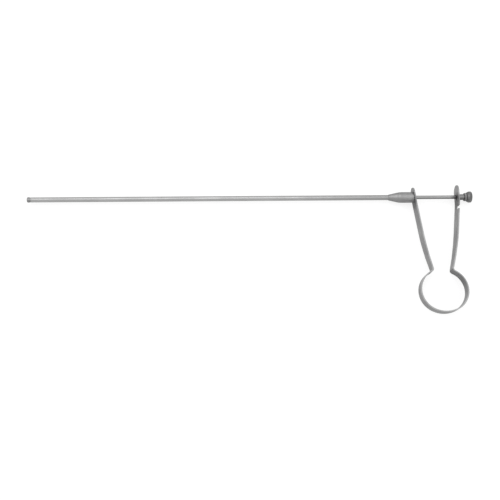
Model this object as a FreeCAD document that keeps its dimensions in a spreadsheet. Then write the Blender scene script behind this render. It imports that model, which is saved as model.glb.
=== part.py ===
"""Grasping forceps with a long shaft, three claws and a spring strip handle.

Lengths are in millimetres. X runs along the shaft, from the claws at -X to the knob at +X.
Y points up, away from the bow of the handle, and Z runs across the strip.
The origin is on the shaft's axis, where the tube enters its socket.
"""
import FreeCAD
import Part

import math
import os

import Sketcher

DRIVING_SIZES = {
    # Tube
    "tube_radius": 2.5,
    "tube_bore_radius": 2.1,
    "tube_reach": 356.4,
    "tube_end_radius": 2.33,
    "tube_seat_depth": 10.0,
    # Socket between the tube and the handle
    "socket_radius": 5.3,
    "socket_mouth_radius": 2.9,
    "socket_nose_length": 10.9,
    "socket_length": 24.7,
    "socket_lip_chamfer": 0.2,
    "socket_shoulder_round": 9.0,
    "socket_spigot_radius": 3.0,
    "socket_rivet_radius": 3.9,
    "socket_rivet_height": 0.7,
    "socket_rivet_chamfer": 0.5,
    # Spring strip handle
    "strip_thickness": 1.2,
    "arm_spacing": 42.6,
    "arm_width": 14.0,
    "neck_width": 10.3,
    "front_head_rise": 9.9,
    "rear_head_rise": 12.2,
    "front_head_lean_angle": 5.5,
    "rear_head_lean_angle": 0.8,
    "head_bend_drop": 2.6,
    "head_bend_radius": 50.0,
    "arm_lean_angle": 7.3,
    "arm_straight_length": 26.8,
    "arm_curve_radius": 270.0,
    "neck_bend_radius": 2.7,
    "neck_width_height": 16.0,
    "arm_width_height": 51.5,
    "bow_drop": 95.2,
    "bow_side_radius": 20.5,
    "bow_side_offset": 1.9,
    "bow_bottom_lift": 3.3,
    # Hook slot in the rear arm
    "slot_half_width": 1.3,
    "slot_entry_drop": 12.0,
    "slot_entry_half_width": 1.7,
    "slot_lip_round": 1.0,
    "slot_corner_round": 0.6,
    # Drive rod
    "rod_radius": 1.75,
    "rod_neck_radius": 1.1,
    "rod_stud_radius": 1.5,
    "rod_nose_radius": 1.0,
    "rod_nose_length": 3.8,
    "rod_front_play": 0.45,
    "rod_rear_play": 0.55,
    # Pieces on the rear end of the rod
    "sleeve_radius": 2.85,
    "sleeve_length": 5.4,
    "nut_radius": 4.05,
    "nut_thickness": 2.6,
    "nut_chamfer": 0.4,
    "knob_radius": 5.5,
    "knob_thickness": 5.2,
    "knob_front_chamfer": 0.9,
    "knob_rear_chamfer": 0.5,
    "knob_dome_height": 0.5,
    "knob_bore_depth": 3.4,
    "groove_depth": 0.25,
    "groove_half_width": 0.25,
    # Claws and the collet that holds them
    "collet_radius": 2.0,
    "collet_length": 8.0,
    "collet_cup_radius": 1.5,
    "collet_cup_depth": 1.8,
    "claw_leg_length": 15.8,
    "claw_leg_radius": 0.38,
    "claw_leg_offset": 0.5,
    "claw_root_gap": 0.3,
    "claw_head_length": 3.6,
    "claw_rear_radius": 2.35,
    "claw_front_radius": 2.7,
    "claw_tip_radius": 2.4,
    "claw_tip_chamfer": 0.6,
    "claw_wall": 0.55,
    "claw_hook_radius": 0.4,
    "claw_split": 0.15,
    "claw_mouth_gap": 0.1,
    # Clearances
    "end_gap": 0.3,
    "fixed_gap": 0.03,
    "running_gap": 0.05,
}

CLAW_COUNT = 3
KNOB_GROOVE_COUNT = 36
NUT_GROOVE_COUNT = 28
FULL_TURN = 360.0

doc = FreeCAD.newDocument("GraspingForceps")
sheet = doc.addObject("Spreadsheet::Sheet", "Sizes")
for row, (alias, value) in enumerate(DRIVING_SIZES.items(), start=1):
    sheet.set(f"A{row}", alias)
    sheet.set(f"B{row}", str(value))
    sheet.setAlias(f"B{row}", alias)
doc.recompute()


def size(alias):
    """Text that reads one driving size from the sheet."""
    return f"Sizes.{alias}"


def number(text):
    """Value of an expression at the present sizes, as a plain number."""
    found = sheet.evalExpression(text)
    return float(getattr(found, "Value", found))


def total(*terms):
    """Text of a sum of expressions."""
    return "(" + " + ".join(terms) + ")"


def minus(first, *others):
    """Text of one expression less the others."""
    return "(" + " - ".join((first,) + others) + ")"


def negative(text):
    """Text of an expression with its sign turned."""
    return f"(-1 * {text})"


def half(text):
    """Text of half an expression."""
    return f"({text} / 2)"


def origin_plane(body, role):
    """A body's own origin plane, found by its role."""
    for feature in body.Origin.OriginFeatures:
        if feature.Role == role:
            return feature
    raise ValueError(f"{body.Label} has no {role}")


def new_body(label):
    """A body whose label names its file."""
    body = doc.addObject("PartDesign::Body", label)
    body.Label = label
    return body


def new_sketch(body, role, name):
    """A sketch on one of the body's origin planes."""
    sketch = body.newObject("Sketcher::SketchObject", name)
    sketch.AttachmentSupport = (origin_plane(body, role), "")
    sketch.MapMode = "FlatFace"
    return sketch


def pin_coordinate(sketch, kind, geometry, point, text):
    """Ties one coordinate of a sketch point to an expression."""
    constraint = Sketcher.Constraint(kind, -1, 1, geometry, point, number(text))
    index = sketch.addConstraint(constraint)
    sketch.setExpression(f"Constraints[{index}]", text)


def draw_outline(sketch, corners, arcs=None):
    """Draws a closed outline whose corners, and arc centres, follow expressions.

    corners is a list of (x, y) texts. arcs gives, by the number of the corner that an edge
    starts from, the texts of the arc's centre and whether it runs anticlockwise.
    """
    arcs = arcs or {}
    places = [FreeCAD.Vector(number(x), number(y), 0) for x, y in corners]
    ends = []
    for index, start in enumerate(places):
        finish = places[(index + 1) % len(places)]
        if index not in arcs:
            line = sketch.addGeometry(Part.LineSegment(start, finish))
            ends.append((line, 1, 2))
            continue
        centre_x, centre_y, anticlockwise = arcs[index]
        centre = FreeCAD.Vector(number(centre_x), number(centre_y), 0)
        first, last = (start, finish) if anticlockwise else (finish, start)
        first_angle = math.atan2(first.y - centre.y, first.x - centre.x)
        last_angle = math.atan2(last.y - centre.y, last.x - centre.x)
        if last_angle <= first_angle:
            last_angle += 2 * math.pi
        circle = Part.Circle(centre, FreeCAD.Vector(0, 0, 1), (first - centre).Length)
        arc = sketch.addGeometry(Part.ArcOfCircle(circle, first_angle, last_angle))
        ends.append((arc, 1, 2) if anticlockwise else (arc, 2, 1))
    for index, (x, y) in enumerate(corners):
        geometry, start_point, _ = ends[index]
        earlier, _, end_point = ends[index - 1]
        sketch.addConstraint(Sketcher.Constraint("Coincident", earlier, end_point, geometry, start_point))
        pin_coordinate(sketch, "DistanceX", geometry, start_point, x)
        pin_coordinate(sketch, "DistanceY", geometry, start_point, y)
    for index, (centre_x, centre_y, _) in arcs.items():
        chord = places[(index + 1) % len(places)] - places[index]
        if abs(chord.y) > abs(chord.x):
            pin_coordinate(sketch, "DistanceX", ends[index][0], 3, centre_x)
        else:
            pin_coordinate(sketch, "DistanceY", ends[index][0], 3, centre_y)


def draw_circle(sketch, x, y, radius):
    """Draws a circle whose centre and radius follow expressions."""
    centre = FreeCAD.Vector(number(x), number(y), 0)
    circle = sketch.addGeometry(Part.Circle(centre, FreeCAD.Vector(0, 0, 1), number(radius)))
    pin_coordinate(sketch, "DistanceX", circle, 3, x)
    pin_coordinate(sketch, "DistanceY", circle, 3, y)
    index = sketch.addConstraint(Sketcher.Constraint("Radius", circle, number(radius)))
    sketch.setExpression(f"Constraints[{index}]", radius)


def turn_profile(body, corners, arcs=None):
    """Turns a half profile of (x, radius) corners about the shaft's axis."""
    sketch = new_sketch(body, "XY_Plane", body.Label + "_profile")
    draw_outline(sketch, corners, arcs)
    turned = body.newObject("PartDesign::Revolution", body.Label + "_turned")
    turned.Profile = sketch
    turned.ReferenceAxis = (sketch, ["H_Axis"])
    turned.Angle = FULL_TURN
    return turned


def pad_across(body, sketch, name, length):
    """Pads a sketch by the same amount to both sides of its plane."""
    pad = body.newObject("PartDesign::Pad", name)
    pad.Profile = sketch
    pad.SideType = "Symmetric"
    pad.setExpression("Length", length)
    return pad


def cut_through(body, sketch, name):
    """Cuts a sketch through the whole body, to both sides of its plane."""
    pocket = body.newObject("PartDesign::Pocket", name)
    pocket.Profile = sketch
    pocket.Type = "ThroughAll"
    pocket.SideType = "Symmetric"
    return pocket


def ring_edges(feature, x, radius):
    """Names of the circular edges about the shaft's axis at one place and radius."""
    tolerance = 1e-4
    names = []
    for index, edge in enumerate(feature.Shape.Edges, start=1):
        if edge.Degenerated or not isinstance(edge.Curve, Part.Circle):
            continue
        curve = edge.Curve
        if abs(curve.Center.x - x) < tolerance and abs(curve.Radius - radius) < tolerance:
            names.append(f"Edge{index}")
    return names


def round_ring(body, base, name, x, radius, amount):
    """Rounds the circular edge of a turned piece at one place and radius."""
    doc.recompute()
    fillet = body.newObject("PartDesign::Fillet", name)
    fillet.Base = (base, ring_edges(base, number(x), number(radius)))
    fillet.setExpression("Radius", amount)
    return fillet


def chamfer_ring(body, base, name, x, radius, amount):
    """Chamfers the circular edge of a round piece at one place and radius."""
    doc.recompute()
    chamfer = body.newObject("PartDesign::Chamfer", name)
    chamfer.Base = (base, ring_edges(base, number(x), number(radius)))
    chamfer.setExpression("Size", amount)
    return chamfer


def cut_grooves(body, radius, count):
    """Cuts straight knurling grooves along the rim of a turned piece."""
    depth = size("groove_depth")
    wide = size("groove_half_width")
    slope = f"({wide} / {depth})"
    sketch = new_sketch(body, "YZ_Plane", body.Label + "_groove_outline")
    draw_outline(sketch, [
        (minus(radius, depth), "0"),
        (total(radius, depth), f"2 * {depth} * {slope}"),
        (total(radius, depth), f"-2 * {depth} * {slope}"),
    ])
    groove = cut_through(body, sketch, body.Label + "_groove")
    pattern = body.newObject("PartDesign::PolarPattern", body.Label + "_grooves")
    pattern.Originals = [groove]
    pattern.Axis = (sketch, ["N_Axis"])
    pattern.Angle = FULL_TURN
    pattern.Occurrences = count
    body.Tip = pattern
    return pattern


strip_half = half(size("strip_thickness"))


def head_sine(word):
    """Text of the sine of one head's lean."""
    return f"sin({size(word + '_head_lean_angle')})"


def head_cosine(word):
    """Text of the cosine of one head's lean."""
    return f"cos({size(word + '_head_lean_angle')})"


def head_slope(word):
    """Text of the slope of one head's lean."""
    return f"tan({size(word + '_head_lean_angle')})"


# Bends of the arm, worked out from the driving sizes. They are measured outwards from the
# handle's middle plane. Both arms share them, and only their heads lean differently.
bends = doc.addObject("App::VarSet", "Bends")
for name in (
    "head_bend_out", "front_head_out", "rear_head_out", "curve_centre_out", "curve_centre_up",
    "curve_end_out", "curve_end_up", "bottom_step",
):
    bends.addProperty("App::PropertyFloat", name)
bends.addProperty("App::PropertyAngle", "neck_angle")
lean_sine = f"sin({size('arm_lean_angle')})"
lean_cosine = f"cos({size('arm_lean_angle')})"
bends.setExpression("head_bend_out", f"{half(size('arm_spacing'))} - {size('head_bend_radius')}")
for word in ("front", "rear"):
    bends.setExpression(
        f"{word}_head_out",
        f"Bends.head_bend_out + {size('head_bend_radius')} / {head_cosine(word)}"
        f" + {size('head_bend_drop')} * {head_slope(word)}",
    )
bends.setExpression(
    "curve_centre_out",
    f"Bends.head_bend_out + ({size('head_bend_radius')} - {size('arm_curve_radius')}) * {lean_cosine}"
    f" - {size('arm_straight_length')} * {lean_sine}",
)
bends.setExpression(
    "curve_centre_up",
    f"-1 * {size('head_bend_drop')} - ({size('head_bend_radius')} - {size('arm_curve_radius')}) * {lean_sine}"
    f" - {size('arm_straight_length')} * {lean_cosine}",
)
ring_reach = total(size("bow_side_radius"), size("neck_bend_radius"))
curve_reach = total(size("arm_curve_radius"), size("neck_bend_radius"))
rise = total("Bends.curve_centre_up", size("bow_drop"))
outset = minus("Bends.curve_centre_out", size("bow_side_offset"))
distance = f"sqrt({outset} ^ 2 + {rise} ^ 2)"
bends.setExpression(
    "neck_angle",
    f"acos(({distance} ^ 2 + {ring_reach} ^ 2 - {curve_reach} ^ 2) / (2 * {distance} * {ring_reach}))"
    f" + atan2({outset}; {rise})",
)
neck_sine = "sin(Bends.neck_angle)"
neck_cosine = "cos(Bends.neck_angle)"
bends.setExpression(
    "curve_end_out",
    f"({ring_reach} * {neck_sine} - {outset}) / {curve_reach}",
)
bends.setExpression(
    "curve_end_up",
    f"({ring_reach} * {neck_cosine} - {rise}) / {curve_reach}",
)
bends.setExpression(
    "bottom_step", f"sqrt({size('bow_side_offset')} ^ 2 + {size('bow_bottom_lift')} ^ 2)"
)
doc.recompute()

# Places along the shaft that more than one piece uses
front_slant = f"({size('strip_thickness')} / {head_cosine('front')})"
rear_slant = f"({size('strip_thickness')} / {head_cosine('rear')})"
handle_x = total(size("socket_length"), half(front_slant), "Bends.front_head_out")
rear_arm_x = total(handle_x, "Bends.rear_head_out")
mouth_x = negative(size("tube_reach"))
hinge_x = total(mouth_x, size("claw_leg_length"))
cup_floor_x = total(hinge_x, size("claw_root_gap"))
collet_front_x = minus(cup_floor_x, size("collet_cup_depth"))
collet_rear_x = total(collet_front_x, size("collet_length"))
neck_front_x = minus(rear_arm_x, half(rear_slant), size("rod_front_play"))
neck_rear_x = total(rear_arm_x, half(rear_slant), size("rod_rear_play"))
sleeve_rear_x = total(neck_rear_x, size("sleeve_length"))
nut_front_x = total(sleeve_rear_x, size("running_gap"))
knob_front_x = total(nut_front_x, size("nut_thickness"))
knob_rear_x = total(knob_front_x, size("knob_thickness"))
knob_bore_x = total(knob_front_x, size("knob_bore_depth"))


def make_sheath_tube():
    """Outer tube, turned down at the end that sits in the socket."""
    body = new_body("sheath_tube")
    turn_profile(body, [
        (mouth_x, size("tube_bore_radius")),
        (mouth_x, size("tube_radius")),
        ("0", size("tube_radius")),
        ("0", size("tube_end_radius")),
        (size("tube_seat_depth"), size("tube_end_radius")),
        (size("tube_seat_depth"), size("tube_bore_radius")),
    ])
    return body


def make_shaft_socket():
    """Bullet shaped socket, cut to the lean of the front arm and riveted through it."""
    body = new_body("shaft_socket")
    seat_radius = total(size("tube_end_radius"), size("fixed_gap"))
    seat_end = total(size("tube_seat_depth"), size("end_gap"))
    blank_end = total(size("socket_length"), size("socket_radius"))
    turned = turn_profile(body, [
        ("0", seat_radius),
        ("0", minus(size("socket_mouth_radius"), size("socket_lip_chamfer"))),
        (size("socket_lip_chamfer"), size("socket_mouth_radius")),
        (size("socket_nose_length"), size("socket_radius")),
        (blank_end, size("socket_radius")),
        (blank_end, "0"),
        (seat_end, "0"),
        (seat_end, seat_radius),
    ])
    round_ring(
        body, turned, "shaft_socket_shoulder",
        size("socket_nose_length"), size("socket_radius"), size("socket_shoulder_round"),
    )
    cut_socket_rear(body, total(blank_end, size("socket_radius")))
    add_rivet(body, seat_end)
    bore = new_sketch(body, "YZ_Plane", "shaft_socket_guide_circle")
    draw_circle(bore, "0", "0", total(size("rod_radius"), size("running_gap")))
    cut_through(body, bore, "shaft_socket_guide")
    return body


def cut_socket_rear(body, beyond):
    """Cuts the socket's rear end to the plane of the front arm's face."""
    reach = f"(2 * {size('socket_radius')})"
    slant = f"{reach} * {head_slope('front')}"
    sketch = new_sketch(body, "XY_Plane", "shaft_socket_rear_outline")
    draw_outline(sketch, [
        (f"{size('socket_length')} + {slant}", negative(reach)),
        (beyond, negative(reach)),
        (beyond, reach),
        (f"{size('socket_length')} - {slant}", reach),
    ])
    cut_through(body, sketch, "shaft_socket_rear")


def add_rivet(body, spigot_start):
    """Adds the spigot that goes through the front arm, and its head on the arm's rear face."""
    strip_rear = total(size("socket_length"), front_slant)
    spigot = new_sketch(body, "YZ_Plane", "shaft_socket_spigot_circle")
    draw_circle(spigot, "0", "0", size("socket_spigot_radius"))
    spigot.setExpression(".AttachmentOffset.Base.z", spigot_start)
    pad = body.newObject("PartDesign::Pad", "shaft_socket_spigot")
    pad.Profile = spigot
    pad.setExpression("Length", minus(total(strip_rear, half(size("socket_rivet_height"))), spigot_start))
    head = new_sketch(body, "YZ_Plane", "shaft_socket_rivet_circle")
    draw_circle(head, "0", "0", size("socket_rivet_radius"))
    head.AttachmentOffset.Rotation.Axis = FreeCAD.Vector(0, 1, 0)
    head.setExpression(".AttachmentOffset.Rotation.Angle", size("front_head_lean_angle"))
    head.setExpression(".AttachmentOffset.Base.z", strip_rear)
    rivet = body.newObject("PartDesign::Pad", "shaft_socket_rivet")
    rivet.Profile = head
    rivet.setExpression("Length", size("socket_rivet_height"))
    chamfer_ring(
        body, rivet, "shaft_socket_rivet_edge",
        f"{strip_rear} + {size('socket_rivet_height')} * {head_cosine('front')}",
        size("socket_rivet_radius"), size("socket_rivet_chamfer"),
    )


def strip_side(word, side, shift):
    """Corners and arc centres of one face of an arm, from its head down to the bow.

    word is front or rear, side is -1 for the front arm and 1 for the rear arm, and shift is
    the face's distance outwards from the middle of the strip.
    """
    def place(out, up):
        """Texts of a point that lies a distance out from the middle plane."""
        return (f"{side} * ({out})", up)

    bend = total(size("head_bend_radius"), shift)
    curve = total(size("arm_curve_radius"), shift)
    rise_text = size(word + "_head_rise")
    bend_up = negative(size("head_bend_drop"))
    bend_start_out = f"Bends.head_bend_out + {bend} * {head_cosine(word)}"
    bend_start_up = f"({bend_up} - {bend} * {head_sine(word)})"
    bend_end_out = f"Bends.head_bend_out + {bend} * {lean_cosine}"
    bend_end_up = f"{bend_up} - {bend} * {lean_sine}"
    line_end_out = f"{bend_end_out} - {size('arm_straight_length')} * {lean_sine}"
    line_end_up = f"{bend_end_up} - {size('arm_straight_length')} * {lean_cosine}"
    ring = total(size("bow_side_radius"), shift)
    ring_out = size("bow_side_offset")
    corners = [
        place(f"{bend_start_out} + ({rise_text} - {bend_start_up}) * {head_slope(word)}", rise_text),
        place(bend_start_out, bend_start_up),
        place(bend_end_out, bend_end_up),
        place(line_end_out, line_end_up),
        place(f"Bends.curve_centre_out + {curve} * Bends.curve_end_out",
              f"Bends.curve_centre_up + {curve} * Bends.curve_end_up"),
        place(f"{ring_out} + {ring} * {neck_sine}", f"{ring} * {neck_cosine} - {size('bow_drop')}"),
    ]
    centres = [
        None,
        place("Bends.head_bend_out", bend_up),
        None,
        place("Bends.curve_centre_out", "Bends.curve_centre_up"),
        place(f"{ring_out} + {ring_reach} * {neck_sine}",
              f"{ring_reach} * {neck_cosine} - {size('bow_drop')}"),
    ]
    return corners, centres


def make_arm(word, side):
    """One arm of the strip, cut from a bent band to the outline of its face."""
    label = word + "_arm"
    body = new_body(label)
    body.setExpression(".Placement.Base.x", handle_x)
    outer, centres = strip_side(word, side, strip_half)
    inner, _ = strip_side(word, side, negative(strip_half))
    corners = outer + inner[::-1]
    last = len(corners) - 1
    arcs = {}
    for index, centre in enumerate(centres):
        if centre is None:
            continue
        bends_inwards = index != len(centres) - 1
        outer_anticlockwise = (side < 0) == bends_inwards
        arcs[index] = (centre[0], centre[1], outer_anticlockwise)
        arcs[last - 1 - index] = (centre[0], centre[1], not outer_anticlockwise)
    band = new_sketch(body, "XY_Plane", label + "_band")
    draw_outline(band, corners, arcs)
    pad_across(body, band, label + "_strip", size("arm_width"))
    trim_face(body, size(word + "_head_rise"))
    return body


def trim_face(body, head_rise):
    """Cuts away what lies outside the face of the arm: narrow neck, wide arm, round head."""
    arm_half = half(size("arm_width"))
    neck_half = half(size("neck_width"))
    neck_top = f"({size('neck_width_height')} - {size('bow_drop')})"
    arm_start = f"({size('arm_width_height')} - {size('bow_drop')})"
    low = negative(size("bow_drop"))
    head_start = minus(head_rise, arm_half)
    margin = size("arm_width")
    for sign, word in (("1", "near"), ("-1", "far")):
        sketch = new_sketch(body, "YZ_Plane", f"{body.Label}_{word}_rim")
        anticlockwise = sign == "-1"
        draw_outline(
            sketch,
            [
                (low, f"{sign} * {neck_half}"),
                (neck_top, f"{sign} * {neck_half}"),
                (arm_start, f"{sign} * {arm_half}"),
                (head_start, f"{sign} * {arm_half}"),
                (head_rise, "0"),
                (total(head_rise, margin), "0"),
                (total(head_rise, margin), f"{sign} * {margin}"),
                (low, f"{sign} * {margin}"),
            ],
            {3: (head_start, "0", anticlockwise)},
        )
        cut_through(body, sketch, f"{body.Label}_{word}_trim")


def make_front_arm():
    """Front arm with the hole that the socket is riveted through."""
    body = make_arm("front", -1)
    hole = new_sketch(body, "YZ_Plane", "front_arm_rivet_circle")
    draw_circle(hole, "0", "0", total(size("socket_spigot_radius"), size("fixed_gap")))
    cut_through(body, hole, "front_arm_rivet_hole")
    return body


def make_rear_arm():
    """Rear arm with the hook slot that lets the rod's neck in from the side."""
    body = make_arm("rear", 1)
    slot = new_sketch(body, "YZ_Plane", "rear_arm_slot_outline")
    wide = size("slot_half_width")
    lip = size("slot_lip_round")
    corner = size("slot_corner_round")
    edge = half(size("arm_width"))
    beyond = size("arm_width")
    entry = negative(size("slot_entry_drop"))
    entry_half = size("slot_entry_half_width")
    upper = total(entry, entry_half)
    lower = minus(entry, entry_half)
    turn_z = minus(entry_half, wide)
    draw_outline(
        slot,
        [
            ("0", negative(wide)),
            ("0", wide),
            (total(upper, corner), wide),
            (upper, total(wide, corner)),
            (upper, minus(edge, lip)),
            (total(upper, lip), edge),
            (total(upper, lip), beyond),
            (minus(lower, lip), beyond),
            (minus(lower, lip), edge),
            (lower, minus(edge, lip)),
            (lower, turn_z),
            (entry, negative(wide)),
        ],
        {
            0: ("0", "0", True),
            2: (total(upper, corner), total(wide, corner), False),
            4: (total(upper, lip), minus(edge, lip), False),
            8: (minus(lower, lip), minus(edge, lip), False),
            10: (entry, turn_z, True),
        },
    )
    cut_through(body, slot, "rear_arm_slot")
    return body


def make_bow_spring():
    """Bow of the strip: two side arcs from the necks down to a flatter bottom arc."""
    body = new_body("bow_spring")
    body.setExpression(".Placement.Base.x", handle_x)
    body.setExpression(".Placement.Base.y", negative(size("bow_drop")))
    sketch = new_sketch(body, "XY_Plane", "bow_spring_band")
    offset = size("bow_side_offset")
    lift = size("bow_bottom_lift")

    def face(shift):
        """Corners of one face of the band, from the left neck round to the right one."""
        side = total(size("bow_side_radius"), shift)
        bottom = total(side, "Bends.bottom_step")
        neck_out = f"({offset} + {side} * {neck_sine})"
        neck_up = f"{side} * {neck_cosine}"
        joint_out = f"({bottom} * {offset} / Bends.bottom_step)"
        joint_up = f"({lift} - {bottom} * {lift} / Bends.bottom_step)"
        return [
            (negative(neck_out), neck_up),
            (negative(joint_out), joint_up),
            (joint_out, joint_up),
            (neck_out, neck_up),
        ]

    draw_outline(
        sketch,
        face(strip_half) + face(negative(strip_half))[::-1],
        {
            0: (negative(offset), "0", True),
            1: ("0", lift, True),
            2: (offset, "0", True),
            4: (offset, "0", False),
            5: ("0", lift, False),
            6: (negative(offset), "0", False),
        },
    )
    pad_across(body, sketch, "bow_spring_strip", size("neck_width"))
    return body


def make_drive_rod():
    """Rod with a nose for the collet, a neck for the hook slot and a stud behind it."""
    body = new_body("drive_rod")
    turn_profile(body, [
        (minus(collet_rear_x, size("rod_nose_length")), "0"),
        (minus(collet_rear_x, size("rod_nose_length")), size("rod_nose_radius")),
        (collet_rear_x, size("rod_nose_radius")),
        (collet_rear_x, size("rod_radius")),
        (neck_front_x, size("rod_radius")),
        (neck_front_x, size("rod_neck_radius")),
        (neck_rear_x, size("rod_neck_radius")),
        (neck_rear_x, size("rod_stud_radius")),
        (minus(knob_bore_x, size("end_gap")), size("rod_stud_radius")),
        (minus(knob_bore_x, size("end_gap")), "0"),
    ])
    return body


def make_claw_collet():
    """Collet on the front of the rod, with the cup that holds the claws' legs."""
    body = new_body("claw_collet")
    nose_bore = total(size("rod_nose_radius"), size("fixed_gap"))
    nose_end = minus(collet_rear_x, size("rod_nose_length"), size("running_gap"))
    turn_profile(body, [
        (collet_front_x, size("collet_cup_radius")),
        (collet_front_x, size("collet_radius")),
        (collet_rear_x, size("collet_radius")),
        (collet_rear_x, nose_bore),
        (nose_end, nose_bore),
        (nose_end, "0"),
        (cup_floor_x, "0"),
        (cup_floor_x, size("collet_cup_radius")),
    ])
    return body


def make_claw(number_of_claw):
    """One claw: a third of a hooked cup on a straight leg."""
    body = new_body(f"claw_{number_of_claw}")
    body.setExpression(".Placement.Base.x", mouth_x)
    turn = FULL_TURN / CLAW_COUNT * (number_of_claw - 1)
    body.Placement.Rotation = FreeCAD.Rotation(FreeCAD.Vector(1, 0, 0), turn)
    rear = negative(size("claw_mouth_gap"))
    rear_inside = minus(rear, size("claw_wall"))
    front = negative(size("claw_head_length"))
    front_inside = total(front, size("claw_wall"))
    shoulder = total(front, size("claw_tip_chamfer"))
    turn_profile(body, [
        (rear, size("claw_hook_radius")),
        (rear, size("claw_rear_radius")),
        (shoulder, size("claw_front_radius")),
        (front, size("claw_tip_radius")),
        (front, size("claw_hook_radius")),
        (front_inside, size("claw_hook_radius")),
        (front_inside, minus(size("claw_front_radius"), size("claw_wall"))),
        (rear_inside, minus(size("claw_rear_radius"), size("claw_wall"))),
        (rear_inside, size("claw_hook_radius")),
    ])
    keep_third(body)
    leg = new_sketch(body, "YZ_Plane", f"{body.Label}_leg_circle")
    draw_circle(leg, "0", size("claw_leg_offset"), size("claw_leg_radius"))
    leg.setExpression(".AttachmentOffset.Base.z", rear_inside)
    pad = body.newObject("PartDesign::Pad", f"{body.Label}_leg")
    pad.Profile = leg
    pad.setExpression("Length", minus(size("claw_leg_length"), rear_inside))
    return body


def keep_third(body):
    """Cuts a claw's cup down to its own third, less half the split at each side."""
    share = f"sin({FULL_TURN / CLAW_COUNT / 2})"
    slope = f"cos({FULL_TURN / CLAW_COUNT / 2})"
    apex = f"({half(size('claw_split'))} / {share})"
    reach = f"(2 * {size('claw_front_radius')})"
    sketch = new_sketch(body, "YZ_Plane", f"{body.Label}_split_outline")
    draw_outline(sketch, [
        ("0", apex),
        (f"{reach} * {share}", f"{apex} + {reach} * {slope}"),
        (f"{reach} * {share}", negative(reach)),
        (f"-1 * {reach} * {share}", negative(reach)),
        (f"-1 * {reach} * {share}", f"{apex} + {reach} * {slope}"),
    ])
    cut_through(body, sketch, f"{body.Label}_split")


def make_thrust_sleeve():
    """Plain sleeve that the rear arm pushes against."""
    body = new_body("thrust_sleeve")
    bore = total(size("rod_stud_radius"), size("running_gap"))
    turn_profile(body, [
        (neck_rear_x, bore),
        (neck_rear_x, size("sleeve_radius")),
        (sleeve_rear_x, size("sleeve_radius")),
        (sleeve_rear_x, bore),
    ])
    return body


def make_lock_nut():
    """Round nut that locks the knob on the rod's stud."""
    body = new_body("lock_nut")
    bore = total(size("rod_stud_radius"), size("fixed_gap"))
    chamfer = size("nut_chamfer")
    turn_profile(body, [
        (nut_front_x, bore),
        (nut_front_x, minus(size("nut_radius"), chamfer)),
        (total(nut_front_x, chamfer), size("nut_radius")),
        (minus(knob_front_x, chamfer), size("nut_radius")),
        (knob_front_x, minus(size("nut_radius"), chamfer)),
        (knob_front_x, bore),
    ])
    cut_grooves(body, size("nut_radius"), NUT_GROOVE_COUNT)
    return body


def make_thumb_knob():
    """Knurled knob on the end of the rod, with a slightly domed end."""
    body = new_body("thumb_knob")
    bore = total(size("rod_stud_radius"), size("fixed_gap"))
    front = size("knob_front_chamfer")
    rear = size("knob_rear_chamfer")
    rim_x = minus(knob_rear_x, size("knob_dome_height"))
    dome_edge = minus(size("knob_radius"), rear)
    dome_radius = f"(({dome_edge} ^ 2 + {size('knob_dome_height')} ^ 2) / (2 * {size('knob_dome_height')}))"
    turn_profile(
        body,
        [
            (knob_front_x, bore),
            (knob_front_x, minus(size("knob_radius"), front)),
            (total(knob_front_x, front), size("knob_radius")),
            (minus(rim_x, rear), size("knob_radius")),
            (rim_x, dome_edge),
            (knob_rear_x, "0"),
            (knob_bore_x, "0"),
            (knob_bore_x, bore),
        ],
        {4: (minus(knob_rear_x, dome_radius), "0", False)},
    )
    cut_grooves(body, size("knob_radius"), KNOB_GROOVE_COUNT)
    return body


bodies = [
    make_sheath_tube(),
    make_shaft_socket(),
    make_front_arm(),
    make_bow_spring(),
    make_rear_arm(),
    make_drive_rod(),
    make_claw_collet(),
    make_thrust_sleeve(),
    make_lock_nut(),
    make_thumb_knob(),
]
for claw_number in range(1, CLAW_COUNT + 1):
    bodies.append(make_claw(claw_number))
doc.recompute()

for item in doc.Objects:
    if "Invalid" in item.State or "Error" in item.State:
        raise RuntimeError(f"{item.Label} failed: {item.State}")
for body in bodies:
    if body.Shape.isNull() or not body.Shape.isValid():
        raise RuntimeError(f"{body.Label} has no valid shape")
    if len(body.Shape.Solids) != 1:
        raise RuntimeError(f"{body.Label} is not one solid")

os.makedirs("parts", exist_ok=True)
for body in bodies:
    body.Shape.exportStep(f"parts/{body.Label}.step")
    box = body.Shape.optimalBoundingBox(False)
    print(
        f"{body.Label}: {body.Shape.Volume:.1f} mm3,"
        f" x {box.XMin:.2f} to {box.XMax:.2f}, y {box.YMin:.2f} to {box.YMax:.2f}, z {box.ZMin:.2f} to {box.ZMax:.2f}"
    )
print(f"neck angle {bends.neck_angle.Value:.3f} degrees")
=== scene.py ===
"""Looks of a pair of grasping forceps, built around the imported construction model.

Lengths are in metres. X runs along the shaft, from the claws at -X to the knob at +X. Y points
up, away from the bow of the handle, and Z runs across the spring strip.
"""

import logging
import math
from collections.abc import Iterable
from dataclasses import dataclass
from enum import Enum

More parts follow.
